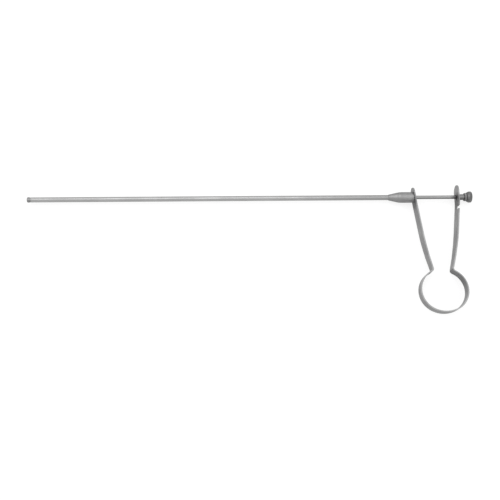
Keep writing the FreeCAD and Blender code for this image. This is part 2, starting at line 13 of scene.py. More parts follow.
import bmesh
import bpy
from bmesh.types import BMEdge, BMesh, BMLayerItem, BMVert
from bpy.types import ID, Material, Node, NodeOutputs, NodeSocket, NodeTree, Object
from mathutils import Matrix, Vector
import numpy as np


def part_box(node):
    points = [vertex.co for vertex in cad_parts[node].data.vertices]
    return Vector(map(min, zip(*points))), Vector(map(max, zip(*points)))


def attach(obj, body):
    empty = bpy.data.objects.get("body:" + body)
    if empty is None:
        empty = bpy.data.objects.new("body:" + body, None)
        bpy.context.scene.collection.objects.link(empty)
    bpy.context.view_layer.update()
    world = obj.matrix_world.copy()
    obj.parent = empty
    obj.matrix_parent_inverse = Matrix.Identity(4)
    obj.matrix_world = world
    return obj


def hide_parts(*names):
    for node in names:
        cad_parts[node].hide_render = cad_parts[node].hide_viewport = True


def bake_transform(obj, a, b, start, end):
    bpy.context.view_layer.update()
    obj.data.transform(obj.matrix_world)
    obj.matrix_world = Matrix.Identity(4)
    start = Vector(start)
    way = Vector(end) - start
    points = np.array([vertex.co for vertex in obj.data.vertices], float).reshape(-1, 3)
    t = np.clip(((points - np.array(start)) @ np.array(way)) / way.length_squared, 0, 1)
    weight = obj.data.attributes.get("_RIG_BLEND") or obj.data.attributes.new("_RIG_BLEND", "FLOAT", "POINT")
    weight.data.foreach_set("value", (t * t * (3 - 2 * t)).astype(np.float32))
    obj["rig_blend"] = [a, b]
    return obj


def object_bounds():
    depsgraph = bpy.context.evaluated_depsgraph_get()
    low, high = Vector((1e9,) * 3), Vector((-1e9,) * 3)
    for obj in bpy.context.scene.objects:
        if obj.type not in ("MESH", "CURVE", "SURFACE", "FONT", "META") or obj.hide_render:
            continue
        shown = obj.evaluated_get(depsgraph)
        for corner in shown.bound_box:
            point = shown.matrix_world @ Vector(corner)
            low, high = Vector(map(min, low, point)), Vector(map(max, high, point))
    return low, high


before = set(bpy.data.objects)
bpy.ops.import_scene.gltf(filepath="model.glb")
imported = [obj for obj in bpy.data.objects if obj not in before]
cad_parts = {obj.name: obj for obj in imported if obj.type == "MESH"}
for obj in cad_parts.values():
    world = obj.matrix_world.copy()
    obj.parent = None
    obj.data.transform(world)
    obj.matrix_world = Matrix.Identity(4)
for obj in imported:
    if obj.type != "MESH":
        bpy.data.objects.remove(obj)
cad_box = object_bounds()
log = logging.getLogger("grasping_forceps")

MM = 0.001
FULL_TURN = 2 * math.pi
QUARTER_TURN = math.pi / 2
ORIGIN = (0.0, 0.0, 0.0)
X_AXIS = Vector((1, 0, 0))
ACROSS_SHAFT = (0.0, 1.0, 1.0)

# Values that the meshes carry for the finishes
WEAR = "rim_wear"
# This value darkens the colour: painted shade at the rod's slot, on the undersides of turned pieces and
# inside the bow, and a plainly darker tone on some pieces.
PAINTED_SHADE_AND_DARKENING = "painted_shade_and_darkening"

# Points this close are one point.
SAME_PLACE = 1e-7
# Just under one: it keeps two rounds from meeting, and allows for error in a normal.
NEARLY_ONE = 0.999
# Edges that turn by more than this are rounded.
SQUARE_EDGE = math.radians(60)
# The least distance from the axis that counts
AXIS_GUARD = 0.1 * MM
# How far down the painted shade on an underside starts, as a share of the radius
UNDERSIDE_START = 0.2

# Sizes that the shaft and the strip share
STRIP_THICKNESS = 1.2 * MM
FRONT_HEAD_LEAN = math.radians(5.5)


# Meshes


@dataclass(frozen=True)
class Corner:
    """One corner of an outline or a turned profile, with the size of its round."""

    along: float
    out: float
    round: float = 0.0
    segments: int = 4


def closed_outline(bm: BMesh, corners: Iterable[Corner], upright: bool) -> None:
    """Draws a closed wire with rounded corners.

    Args:
        bm: The mesh to draw in.
        corners: The corners in order.
        upright: True draws in the XZ plane, and False in the XY plane.
    """
    corners = list(corners)
    points = []
    for corner in corners:
        place = (corner.along, 0, corner.out) if upright else (corner.along, corner.out, 0)
        points.append(bm.verts.new(place))
    for first, second in zip(points, points[1:] + points[:1]):
        bm.edges.new((first, second))
    for point, corner in zip(points, corners):
        if corner.round:
            bmesh.ops.bevel(
                bm, geom=[point], offset=corner.round, segments=corner.segments,
                profile=0.5, affect="VERTICES", material=-1,
            )


def turn_verts(bm: BMesh, verts: list[BMVert], angle: float, axis: str) -> None:
    """Turns vertices about one of the frame's axes."""
    bmesh.ops.rotate(bm, verts=verts, cent=ORIGIN, matrix=Matrix.Rotation(angle, 3, axis))


def cut_across(bm: BMesh, along: float, normal: Vector, clear: bool = False) -> None:
    """Cuts the faces at a plane that crosses the X axis, and clears what lies beyond it if asked."""
    bmesh.ops.bisect_plane(
        bm, geom=bm.verts[:] + bm.edges[:] + bm.faces[:], dist=SAME_PLACE,
        plane_co=(along, 0, 0), plane_no=normal, clear_outer=clear,
    )


def turned(corners: Iterable[Corner], steps: int = 96, angle: float = FULL_TURN) -> BMesh:
    """Turns a closed profile about the shaft's axis.

    Args:
        corners: The profile's corners, along the axis and out from it.
        steps: The number of faces along the turn.
        angle: The turn, which is centred on +Y where it isn't full.

    Returns:
        A closed bmesh with its faces pointing outwards.
    """
    bm = bmesh.new()
    closed_outline(bm, corners, upright=False)
    full = angle >= FULL_TURN
    if not full:
        turn_verts(bm, bm.verts[:], -angle / 2, "X")
    bmesh.ops.spin(
        bm, geom=bm.verts[:] + bm.edges[:], cent=ORIGIN, axis=X_AXIS, dvec=ORIGIN,
        angle=angle, steps=steps, use_merge=full, use_duplicate=False,
    )
    bmesh.ops.remove_doubles(bm, verts=bm.verts[:], dist=SAME_PLACE)
    if not full:
        bmesh.ops.holes_fill(bm, edges=[e for e in bm.edges if e.is_boundary], sides=0)
    bmesh.ops.recalc_face_normals(bm, faces=bm.faces[:])
    return bm


def square_edges(bm: BMesh) -> list[BMEdge]:
    """Edges whose two faces meet squarely, or nearly so."""
    return [e for e in bm.edges if len(e.link_faces) == 2 and e.calc_face_angle() > SQUARE_EDGE]


def vertex_layer(bm: BMesh, name: str) -> BMLayerItem:
    """The layer of that name; making it voids vertices looked up before."""
    layers = bm.verts.layers.float
    return layers.get(name) or layers.new(name)


def round_edges(bm: BMesh, edges: list[BMEdge], size: float, segments: int = 3) -> None:
    """Rounds edges and marks the round for the wear that handling gives it."""
    layer = vertex_layer(bm, WEAR)
    made = bmesh.ops.bevel(
        bm, geom=edges, offset=size, segments=segments, profile=0.5, affect="EDGES",
        material=-1, clamp_overlap=True,
    )
    for vert in made["verts"]:
        vert[layer] = 1.0


def darken_and_shade_underside(bm: BMesh, overall: float, underside: float) -> None:
    """Darkens a turned piece evenly by overall, and paints shade on its underside, the more the further
    down.
    """
    layer = vertex_layer(bm, PAINTED_SHADE_AND_DARKENING)
    for vert in bm.verts:
        out = max(vert.co.yz.length, AXIS_GUARD)
        low = max(0.0, -vert.co.y / out - UNDERSIDE_START)
        vert[layer] = min(1.0, max(vert[layer], overall + underside * low))


def darken_towards(bm: BMesh, unmarked_at: float, darkest_at: float, amount: float) -> None:
    """Darkens evenly along the shaft, from nothing at one place to the full amount at another."""
    layer = vertex_layer(bm, PAINTED_SHADE_AND_DARKENING)
    for vert in bm.verts:
        share = min(1.0, max(0.0, (vert.co.x - unmarked_at) / (darkest_at - unmarked_at)))
        vert[layer] = min(1.0, vert[layer] + amount * share)


def add_mesh(bm: BMesh, other: BMesh) -> None:
    """Joins another mesh to this one, and frees the other."""
    mesh = bpy.data.meshes.new("joined")
    other.to_mesh(mesh)
    other.free()
    bm.from_mesh(mesh)
    bpy.data.meshes.remove(mesh)


def add_object(name: str, data: ID) -> Object:
    """Puts a mesh, a lamp or a camera into the scene."""
    made = bpy.data.objects.new(name, data)
    bpy.context.scene.collection.objects.link(made)
    return made


def make_piece(
    name: str, bm: BMesh, finish: Material, slot: str, *nodes: str, sharp_angle: float = 35.0,
) -> Object:
    """Puts a finished bmesh into the scene as a smooth shaded and dressed object at the origin.

    Args:
        name: The piece's name.
        bm: The mesh, which is freed.
        finish: The piece's material.
        slot: Not used.
        *nodes: The nodes of the construction model that it stands for.
        sharp_angle: Edges that turn by more than this many degrees stay sharp.

    Returns:
        The new object.
    """
    for layer in (WEAR, PAINTED_SHADE_AND_DARKENING):
        vertex_layer(bm, layer)
    mesh = bpy.data.meshes.new(name)
    bm.to_mesh(mesh)
    bm.free()
    mesh.shade_smooth()
    mesh.set_sharp_from_angle(angle=math.radians(sharp_angle))
    mesh.materials.append(finish)
    piece = add_object(name, mesh)
    weighted = piece.modifiers.new("even_shading", "WEIGHTED_NORMAL")
    weighted.keep_sharp = True
    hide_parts(*nodes)
    return piece


# Finishes


class Grain(Enum):
    """Which way the fine lines of a steel surface run."""

    ALONG_SHAFT = (0.04, 1.0, 1.0)
    AROUND_SHAFT = (1.0, 0.03, 0.03)
    BLASTED = (1.0, 1.0, 1.0)


# The shared groups: how fine their noise is, and which of its values count
FINE_DETAIL = 3.0
BROAD_DETAIL = 2.0
BROAD_SCALE = 0.22
CLOUD_DETAIL = 5.0
CLOUD_START = 0.35
CLOUD_FULL = 0.68
PATCH_SCALE = 160.0
PATCH_DETAIL = 4.0
PATCH_CONTRAST = 1.4
PATCH_SHIFT = -0.1
# The share of its reach where the painted shade about the axis is full
DARK_SHARE = 0.55


def grey(tone: float) -> tuple[float, ...]:
    """A neutral opaque colour."""
    return tone, tone, tone, 1.0


def feed(tree: NodeTree, node: Node, inputs: dict) -> None:
    """Sets a node's inputs, by name or number, to sockets or constants."""
    for label, value in inputs.items():
        if isinstance(value, NodeSocket):
            tree.links.new(value, node.inputs[label])
        else:
            node.inputs[label].default_value = value


def add_node(tree: NodeTree, kind: str, inputs: dict, **settings) -> Node:
    """Adds a shader node.

    Args:
        tree: The node tree.
        kind: The node's type, without its ShaderNode prefix.
        inputs: The value of each input, by its name or number.
        **settings: The node's own options.

    Returns:
        The new node.
    """
    node = tree.nodes.new(f"ShaderNode{kind}")
    for option, choice in settings.items():
        setattr(node, option, choice)
    feed(tree, node, inputs)
    return node


def add_math(tree: NodeTree, operation: str, *values: NodeSocket | float) -> NodeSocket:
    """Adds a Math node whose inputs are numbers or sockets, and returns its output."""
    return add_node(tree, "Math", dict(enumerate(values)), operation=operation).outputs[0]


def add_noise(tree: NodeTree, place: NodeSocket, scale: NodeSocket | float, detail: float) -> NodeSocket:
    """Adds a noise texture and returns its value, which varies about a half."""
    return add_node(tree, "TexNoise", {"Vector": place, "Scale": scale, "Detail": detail}).outputs["Fac"]


def add_mix(
    tree: NodeTree, share: NodeSocket, first: NodeSocket | float, second: NodeSocket | float,
) -> NodeSocket:
    """Mixes two greys, each given as a number or as a colour socket."""
    mix = add_node(tree, "Mix", {"Factor": share}, data_type="RGBA")
    for label, value in (("A", first), ("B", second)):
        number = next(i for i, s in enumerate(mix.inputs) if s.name == label and s.type == "RGBA")
        feed(tree, mix, {number: value if isinstance(value, NodeSocket) else grey(value)})
    return next(s for s in mix.outputs if s.type == "RGBA")


def add_group(tree: NodeTree, group: NodeTree, inputs: dict) -> NodeOutputs:
    """Places a shared group in a material, and returns its outputs."""
    return add_node(tree, "Group", inputs, node_tree=group).outputs


def add_attribute(tree: NodeTree, name: str) -> NodeSocket:
    """Reads a value that the mesh carries."""
    return add_node(tree, "Attribute", {}, attribute_name=name).outputs["Fac"]


def new_group(name: str, inputs: dict[str, float | tuple], outputs: Iterable[str]) -> tuple:
    """Starts a shader node group.

    Args:
        name: The group's name.
        inputs: The default of each input; a tuple makes a vector input.
        outputs: The names of the value outputs.

    Returns:
        The group, the sockets that bring its inputs and those that take its results.
    """
    group = bpy.data.node_groups.new(name, "ShaderNodeTree")
    for label, default in inputs.items():
        kind = "NodeSocketVector" if isinstance(default, tuple) else "NodeSocketFloat"
        socket = group.interface.new_socket(label, in_out="INPUT", socket_type=kind)
        socket.default_value = default
    for label in outputs:
        group.interface.new_socket(label, in_out="OUTPUT", socket_type="NodeSocketFloat")
    return group, group.nodes.new("NodeGroupInput").outputs, group.nodes.new("NodeGroupOutput").inputs


def fine_grain_group() -> NodeTree:
    """Fine lines or blasted pits: a height for the bump, and a change of shade."""
    group, given, result = new_group("fine_grain", {"Vector": ORIGIN, "Scale": 900.0}, ["Height", "Shade"])
    fine = add_noise(group, given["Vector"], given["Scale"], FINE_DETAIL)
    broad_scale = add_math(group, "MULTIPLY", given["Scale"], BROAD_SCALE)
    broad = add_noise(group, given["Vector"], broad_scale, BROAD_DETAIL)
    both = add_math(group, "ADD", fine, broad)
    group.links.new(add_math(group, "MULTIPLY", both, 0.5), result["Height"])
    group.links.new(add_math(group, "SUBTRACT", broad, 0.5), result["Shade"])
    return group


def handling_group() -> NodeTree:
    """Faint cloudy marks from handling and cleaning, from 0 to 1."""
    group, given, result = new_group("handling_marks", {"Vector": ORIGIN, "Scale": 45.0}, ["Mask"])
    cloud = add_noise(group, given["Vector"], given["Scale"], CLOUD_DETAIL)
    values = {"Value": cloud, "From Min": CLOUD_START, "From Max": CLOUD_FULL}
    spread = add_node(group, "MapRange", values, interpolation_type="SMOOTHSTEP")
    group.links.new(spread.outputs["Result"], result["Mask"])
    return group


def axis_shade_group() -> NodeTree:
    """Painted shade about the shaft's axis, where the rod goes through a hole."""
    group, given, result = new_group("axis_shade", {"Vector": ORIGIN, "Reach": 3.0 * MM}, ["Mask"])
    across = add_node(group, "VectorMath", {0: given["Vector"], 1: ACROSS_SHAFT}, operation="MULTIPLY")
    out = add_node(group, "VectorMath", {0: across.outputs["Vector"]}, operation="LENGTH")
    dark_reach = add_math(group, "MULTIPLY", given["Reach"], DARK_SHARE)
    values = {
        "Value": out.outputs["Value"], "From Min": dark_reach, "From Max": given["Reach"],
        "To Min": 1.0, "To Max": 0.0,
    }
    fade = add_node(group, "MapRange", values, interpolation_type="SMOOTHSTEP")
    group.links.new(fade.outputs["Result"], result["Mask"])
    return group


def rim_wear_group() -> NodeTree:
    """Polished rims: the wear that the mesh carries, broken up by noise."""
    group, given, result = new_group("rim_wear", {"Vector": ORIGIN, "Wear": 0.0}, ["Mask"])
    patches = add_noise(group, given["Vector"], PATCH_SCALE, PATCH_DETAIL)
    kept = add_math(group, "MULTIPLY_ADD", patches, PATCH_CONTRAST, PATCH_SHIFT)
    worn = add_node(group, "Clamp", {"Value": add_math(group, "MULTIPLY", given["Wear"], kept)})
    group.links.new(worn.outputs["Result"], result["Mask"])
    return group


@dataclass(frozen=True)
class SteelFinish:
    """A stainless steel surface, the traces of its making and use, and painted shade."""

    name: str
    tone: float
    roughness: float
    grain: Grain
    grain_scale: float = 4000.0
    grain_depth: float = 0.012 * MM
    shade_change: float = 0.25
    streak_contrast: float = 2.5
    streak_share: float = 0.14
    cloud_scale: float = 45.0
    cloud_share: float = 0.06
    worn_roughness: float = 0.22
    worn_lift: float = 1.1
    # How dark the painted shade and the darker tone make the steel
    shade_and_darkening_share: float = 0.7
    edge_tone: float = 0.6
    # How far the painted shade about the axis reaches, and where and how dark the painted shadow below it is
    axis_shade_reach: float = 0.0
    shadow_drop: float = 4.0 * MM
    shadow_reach: float = 10.5 * MM
    shadow_share: float = 0.55

    def build(self, groups: dict[str, NodeTree]) -> Material:
        """Makes the material.

        Args:
            groups: The shared node groups by name.

        Returns:
            The new material.
        """
        material = bpy.data.materials.new(self.name)
        material.use_nodes = True
        tree = material.node_tree
        place = add_node(tree, "TexCoord", {}).outputs["Object"]
        stretch = add_node(tree, "Mapping", {"Vector": place, "Scale": self.grain.value})
        lines = {"Vector": stretch.outputs["Vector"], "Scale": self.grain_scale}
        grain = add_group(tree, groups["fine_grain"], lines)
        clouds = {"Vector": place, "Scale": self.cloud_scale}
        cloud = add_group(tree, groups["handling_marks"], clouds)["Mask"]
        rims = {"Vector": place, "Wear": add_attribute(tree, WEAR)}
        wear = add_group(tree, groups["rim_wear"], rims)["Mask"]
        painted_shade_and_darkening = add_attribute(tree, PAINTED_SHADE_AND_DARKENING)
        # On the strip, painted shade about the rod's axis and a fainter painted shadow below it darken the
        # colour too.
        if self.axis_shade_reach:
            painted_shade_and_darkening = add_math(tree, "MAXIMUM", painted_shade_and_darkening, self.add_axis_shade(tree, groups["axis_shade"], place))
        relief = {"Strength": 1.0, "Distance": self.grain_depth, "Height": grain["Height"]}
        feed(tree, tree.nodes["Principled BSDF"], {
            "Metallic": 1.0,
            "Specular Tint": grey(self.edge_tone),
            "Base Color": self.colour(tree, grain["Shade"], cloud, wear, painted_shade_and_darkening),
            "Roughness": self.polish(tree, grain["Shade"], cloud, wear),
            "Normal": add_node(tree, "Bump", relief).outputs["Normal"],
        })
        return material

    def add_axis_shade(self, tree: NodeTree, group: NodeTree, place: NodeSocket) -> NodeSocket:
        """Painted shade close about the rod, and a fainter painted shadow below the axis, under the socket
        and the rod.
        """
        close = add_group(tree, group, {"Vector": place, "Reach": self.axis_shade_reach})
        below = add_node(tree, "Mapping", {"Vector": place, "Location": (0.0, self.shadow_drop, 0.0)})
        patch = {"Vector": below.outputs["Vector"], "Reach": self.shadow_reach}
        spread = add_group(tree, group, patch)
        faint = add_math(tree, "MULTIPLY", spread["Mask"], self.shadow_share)
        return add_math(tree, "MAXIMUM", close["Mask"], faint)

    def colour(
        self, tree: NodeTree, shade: NodeSocket, cloud: NodeSocket, wear: NodeSocket, painted_shade_and_darkening: NodeSocket,
    ) -> NodeSocket:
        """The steel's grey: streaked by its grain, dull in the clouds, bright on rims, and darker by the
        mesh's painted shade and darkening.
        """
        share = add_math(tree, "MULTIPLY_ADD", shade, self.streak_contrast, 0.5)
        light, dark = 1 + self.streak_share / 2, 1 - self.streak_share / 2
        streaks = add_mix(tree, share, self.tone * light, self.tone * dark)
        clouded = add_mix(tree, cloud, streaks, self.tone * (1 - self.cloud_share))
        worn = add_mix(tree, wear, clouded, self.tone * self.worn_lift)
        return add_mix(tree, painted_shade_and_darkening, worn, self.tone * (1 - self.shade_and_darkening_share))

    def polish(self, tree: NodeTree, shade: NodeSocket, cloud: NodeSocket, wear: NodeSocket) -> NodeSocket:
        """The roughness, from the grain, the clouds and the wear."""
        grained = add_math(tree, "MULTIPLY_ADD", shade, self.shade_change, self.roughness)
        clouded = add_math(tree, "MULTIPLY_ADD", cloud, self.cloud_share, grained)
        drop = add_math(tree, "MULTIPLY", wear, self.worn_roughness - self.roughness)
        return add_math(tree, "ADD", clouded, drop)


# Pieces


@dataclass
class Shaft:
    """The tube and the socket that joins it to the handle's front arm."""

    tube_radius: float = 2.5 * MM
    bore_radius: float = 2.1 * MM
    seat_radius: float = 2.33 * MM
    mouth_round: float = 0.12 * MM
    socket_radius: float = 5.3 * MM
    socket_length: float = 24.7 * MM
    nose_radius: float = 2.9 * MM
    nose_length: float = 10.9 * MM
    nose_round: float = 2.0 * MM
    nose_segments: int = 14
    nose_edge: float = 0.25 * MM
    rear_round: float = 0.15 * MM
    seat_gap: float = 0.03 * MM
    seat_end_gap: float = 0.3 * MM
    socket_bore: float = 1.8 * MM
    spigot_gap: float = 0.05 * MM
    spigot_radius: float = 3.0 * MM
    rivet_radius: float = 3.9 * MM
    rivet_height: float = 0.7 * MM
    rivet_edge: float = 0.1 * MM
    rivet_round: float = 0.55 * MM
    rivet_segments: int = 6
    # Over this last length the tube darkens towards the socket
    darkened_length: float = 95.0 * MM
    socket_end_darkening: float = 0.32
    # Painted shade on the socket's underside
    underside_shade: float = 0.12

    def tube(self) -> BMesh:
        """The sheath tube, turned down where it sits in the socket."""
        low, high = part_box("sheath_tube")
        bm = turned([
            Corner(low.x, self.bore_radius, self.mouth_round),
            Corner(low.x, self.tube_radius, self.mouth_round),
            Corner(-self.darkened_length, self.tube_radius),
            Corner(0.0, self.tube_radius),
            Corner(0.0, self.seat_radius),
            Corner(high.x, self.seat_radius),
            Corner(high.x, self.bore_radius),
        ])
        # The tube darkens evenly over its last stretch towards the socket.
        darken_towards(bm, -self.darkened_length, 0.0, self.socket_end_darkening)
        return bm

    def bullet(self) -> BMesh:
        """The bullet shaped socket, cut to the lean of the front arm."""
        low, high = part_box("shaft_socket")
        seat_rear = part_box("sheath_tube")[1].x + self.seat_end_gap
        seat = self.seat_radius + self.seat_gap
        bm = turned([
            Corner(low.x, seat),
            Corner(low.x, self.nose_radius, self.nose_edge),
            Corner(self.nose_length, self.socket_radius, self.nose_round, self.nose_segments),
            Corner(high.x, self.socket_radius),
            Corner(high.x, self.socket_bore),
            Corner(seat_rear, self.socket_bore),
            Corner(seat_rear, seat),
        ])
        slant = Vector((math.cos(FRONT_HEAD_LEAN), math.sin(FRONT_HEAD_LEAN), 0))
        cut_across(bm, self.socket_length, slant, clear=True)
        made = bmesh.ops.bridge_loops(bm, edges=[e for e in bm.edges if e.is_boundary])
        bmesh.ops.recalc_face_normals(bm, faces=bm.faces[:])
        rear = set(made["faces"])
        rim = [
            e for e in square_edges(bm)
            if rear.intersection(e.link_faces) and min(v.co.yz.length for v in e.verts) > self.rivet_radius
        ]
        round_edges(bm, rim, self.rear_round)
        return bm

    def add_rivet(self, bm: BMesh) -> None:
        """Adds the spigot and its riveted head, square to the leaning arm."""
        arm_rear = self.socket_length + STRIP_THICKNESS / math.cos(FRONT_HEAD_LEAN)
        bore = self.socket_bore + self.spigot_gap
        rivet = turned([
            Corner(-STRIP_THICKNESS, bore),
            Corner(-STRIP_THICKNESS, self.spigot_radius),
            Corner(0.0, self.spigot_radius),
            Corner(0.0, self.rivet_radius, self.rivet_edge),
            Corner(self.rivet_height, self.rivet_radius, self.rivet_round, self.rivet_segments),
            Corner(self.rivet_height, bore, self.rivet_edge),
        ])
        turn_verts(rivet, rivet.verts[:], FRONT_HEAD_LEAN, "Z")
        bmesh.ops.translate(rivet, verts=rivet.verts[:], vec=(arm_rear, 0, 0))
        add_mesh(bm, rivet)

    def socket(self) -> BMesh:
        """The socket with its rivet."""
        bm = self.bullet()
        self.add_rivet(bm)
        # Painted shade on the socket's underside.
        darken_and_shade_underside(bm, 0.0, self.underside_shade)
        return bm

    def build(self, finishes: dict[str, Material]) -> list[Object]:
        """Builds and dresses both pieces."""
        tube = make_piece("tube", self.tube(), finishes["drawn_tube"], "tube_steel", "sheath_tube")
        socket = make_piece(
            "socket", self.socket(), finishes["turned_socket"], "socket_steel", "shaft_socket",
        )
        for piece in (tube, socket):
            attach(piece, "root")
        return [tube, socket]


@dataclass(frozen=True)
class Bend:
    """One stretch of the strip's middle line: straight, or an arc of one radius."""

    length: float
    turn: float = 0.0

    def place(self, along: float) -> tuple[float, float, float]:
        """Forward and sideways travel and the turn, part of the way along the stretch."""
        if not self.turn:
            return along, 0.0, 0.0
        radius = self.length / self.turn
        turn = along / radius
        return radius * math.sin(turn), radius * (1 - math.cos(turn)), turn


@dataclass(frozen=True)
class Head:
    """The head of one arm: its rise over the shaft's axis and its lean."""

    rise: float
    lean: float


@dataclass
class SpringStrip:
    """The handle: one strip, stamped flat, rounded at its rims and bent to two arms and a bow."""

    arm_spacing: float = 42.6 * MM
    rear_head_lean: float = math.radians(0.8)
    head_bend_drop: float = 2.6 * MM
    head_bend_radius: float = 50.0 * MM
    head_segments: int = 14
    lean: float = math.radians(7.3)
    straight_length: float = 26.8 * MM
    arm_radius: float = 270.0 * MM
    neck_bend_radius: float = 2.7 * MM
    bow_drop: float = 95.2 * MM
    bow_side_radius: float = 20.5 * MM
    bow_side_offset: float = 1.9 * MM
    bow_bottom_lift: float = 3.3 * MM
    neck_width_height: float = 16.0 * MM
    arm_width_height: float = 51.5 * MM
    slot_half_width: float = 1.3 * MM
    slot_entry_drop: float = 12.0 * MM
    slot_entry_half_width: float = 1.7 * MM
    slot_lip_round: float = 1.0 * MM
    slot_lip_segments: int = 5
    slot_corner_round: float = 0.6 * MM
    slot_end_segments: int = 6
    rivet_hole_radius: float = 3.03 * MM
    rivet_hole_steps: int = 32
    flat_limit: float = math.radians(1)
    rim_round: float = 0.22 * MM
    rim_segments: int = 4
    rim_band: float = 0.55 * MM
    # How far from the axis the painted shade on the slot's walls reaches
    shaded_reach: float = 2.8 * MM
    # The painted shade inside the bow: how dark, and where it fades out
    bow_shade: float = 0.5
    bow_shade_end: float = 104 * MM
    bow_shade_fade: float = 16 * MM
    degrees_per_slice: float = 3.0
    search_steps: int = 40
    flex_reach: float = 8 * MM

    def __post_init__(self) -> None:
        """Reads the places of the arms and the bow, and works out where the bow's arcs join."""
        front_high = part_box("front_arm")[1]
        bow_low, bow_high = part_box("bow_spring")
        self.middle_x = (bow_low.x + bow_high.x) / 2
        self.front = Head(front_high.y, FRONT_HEAD_LEAN)
        self.rear = Head(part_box("rear_arm")[1].y, self.rear_head_lean)
        self.arm_half = front_high.z
        self.neck_half = bow_high.z
        self.joint = math.atan2(self.bow_side_offset, self.bow_bottom_lift)

    def head_out(self, head: Head) -> float:
        """Distance of an arm's middle from the handle's middle plane, at the top of its head."""
        bend = self.head_bend_radius
        climb = head.rise + self.head_bend_drop
        return self.arm_spacing / 2 - bend + bend / math.cos(head.lean) + climb * math.tan(head.lean)

    def arm_bends(self, head: Head) -> list[Bend]:
        """Bends of one arm from its head down to the bow's bottom arc, turning inwards."""
        bend, arm, neck = self.head_bend_radius, self.arm_radius, self.neck_bend_radius
        centre_out = self.arm_spacing / 2 - bend + (bend - arm) * math.cos(self.lean)
        centre_out -= self.straight_length * math.sin(self.lean)
        centre_up = -self.head_bend_drop - (bend - arm) * math.sin(self.lean)
        centre_up -= self.straight_length * math.cos(self.lean)
        climb_to_top = head.rise + self.head_bend_drop + bend * math.sin(head.lean)
        ring = self.bow_side_radius + neck
        outset = centre_out - self.bow_side_offset
        climb = centre_up + self.bow_drop
        apart = math.hypot(outset, climb)
        share = (apart**2 + ring**2 - (arm + neck) ** 2) / (2 * apart * ring)
        neck_angle = math.acos(share) + math.atan2(outset, climb)
        arm_end = -math.asin((ring * math.cos(neck_angle) - climb) / (arm + neck))
        neck_turn = arm_end + QUARTER_TURN - neck_angle
        side_turn = math.pi - neck_angle - self.joint
        return [
            Bend(climb_to_top / math.cos(head.lean)),
            Bend(bend * (self.lean - head.lean), self.lean - head.lean),
            Bend(self.straight_length),
            Bend(arm * (arm_end - self.lean), arm_end - self.lean),
            Bend(neck * neck_turn, -neck_turn),
            Bend(self.bow_side_radius * side_turn, side_turn),
        ]

    def bends(self) -> list[Bend]:
        """Bends of the whole strip, from the front arm's head to the rear arm's head."""
        step = math.hypot(self.bow_side_offset, self.bow_bottom_lift)
        bottom = Bend((self.bow_side_radius + step) * 2 * self.joint, 2 * self.joint)
        return [*self.arm_bends(self.front), bottom, *reversed(self.arm_bends(self.rear))]

    def reach(self, head: Head, height: float) -> float:
        """Distance along the strip from the top of a head down to a height."""
        bends = self.arm_bends(head)
        near, far = 0.0, sum(b.length for b in bends)
        for _ in range(self.search_steps):
            middle = (near + far) / 2
            if self.bend_point(bends, head, Vector((middle, 0, 0))).y > height:
                near = middle
            else:
                far = middle
        return near

    def outline(self, length: float) -> list[Corner]:
        """Corners of the flat blank, with the hook slot open at the rim on the +Z side."""
        half, neck, slot = self.arm_half, self.neck_half, self.slot_half_width
        mouth = self.slot_entry_half_width
        arm_y = self.arm_width_height - self.bow_drop
        neck_y = self.neck_width_height - self.bow_drop
        front_arm, front_neck = self.reach(self.front, arm_y), self.reach(self.front, neck_y)
        rear_arm = length - self.reach(self.rear, arm_y)
        rear_neck = length - self.reach(self.rear, neck_y)
        rod = length - self.reach(self.rear, 0.0)
        upper = rod - self.slot_entry_drop + mouth
        lower = rod - self.slot_entry_drop - mouth
        head = half * NEARLY_ONE, self.head_segments
        lip = self.slot_lip_round, self.slot_lip_segments
        slot_end = slot * NEARLY_ONE, self.slot_end_segments
        return [
            Corner(0.0, -half, *head),
            Corner(front_arm, -half),
            Corner(front_neck, -neck),
            Corner(rear_neck, -neck),
            Corner(rear_arm, -half),
            Corner(length, -half, *head),
            Corner(length, half, *head),
            Corner(upper, half, *lip),
            Corner(upper, slot, self.slot_corner_round),
            Corner(rod + slot, slot, *slot_end),
            Corner(rod + slot, -slot, *slot_end),
            Corner(lower, -slot, mouth * NEARLY_ONE, self.slot_end_segments),
            Corner(lower, half, *lip),
            Corner(rear_arm, half),
            Corner(rear_neck, neck),
            Corner(front_neck, neck),
            Corner(front_arm, half),
            Corner(0.0, half, *head),
        ]

    def blank(self, length: float) -> BMesh:
        """The stamped blank with its rims rounded, flat in the XZ plane."""
        bm = bmesh.new()
        closed_outline(bm, self.outline(length), upright=True)
        hole = bmesh.ops.create_circle(
            bm, cap_ends=False, radius=self.rivet_hole_radius, segments=self.rivet_hole_steps,
        )
        turn_verts(bm, hole["verts"], QUARTER_TURN, "X")
        bmesh.ops.translate(bm, verts=hole["verts"], vec=(self.reach(self.front, 0.0), 0, 0))
        bmesh.ops.triangle_fill(bm, edges=bm.edges[:], use_beauty=False, use_dissolve=False)
        bmesh.ops.dissolve_limit(
            bm, angle_limit=self.flat_limit, verts=bm.verts[:], edges=bm.edges[:],
            use_dissolve_boundaries=False, delimit=set(),
        )
        made = bmesh.ops.extrude_face_region(bm, geom=bm.faces[:])
        moved = [v for v in made["geom"] if isinstance(v, BMVert)]
        bmesh.ops.translate(bm, verts=moved, vec=(0, STRIP_THICKNESS, 0))
        bmesh.ops.translate(bm, verts=bm.verts[:], vec=(0, -STRIP_THICKNESS / 2, 0))
        bmesh.ops.recalc_face_normals(bm, faces=bm.faces[:])
        round_edges(bm, square_edges(bm), self.rim_round, self.rim_segments)
        caps = [f for f in bm.faces if abs(f.normal.y) > NEARLY_ONE]
        inner = bmesh.ops.inset_region(bm, faces=caps, thickness=self.rim_band, use_even_offset=True)
        layer = vertex_layer(bm, WEAR)
        for face in bm.faces:
            if abs(face.normal.y) > NEARLY_ONE and face not in inner["faces"]:
                for vert in face.verts:
                    vert[layer] = 0.0
        return bm

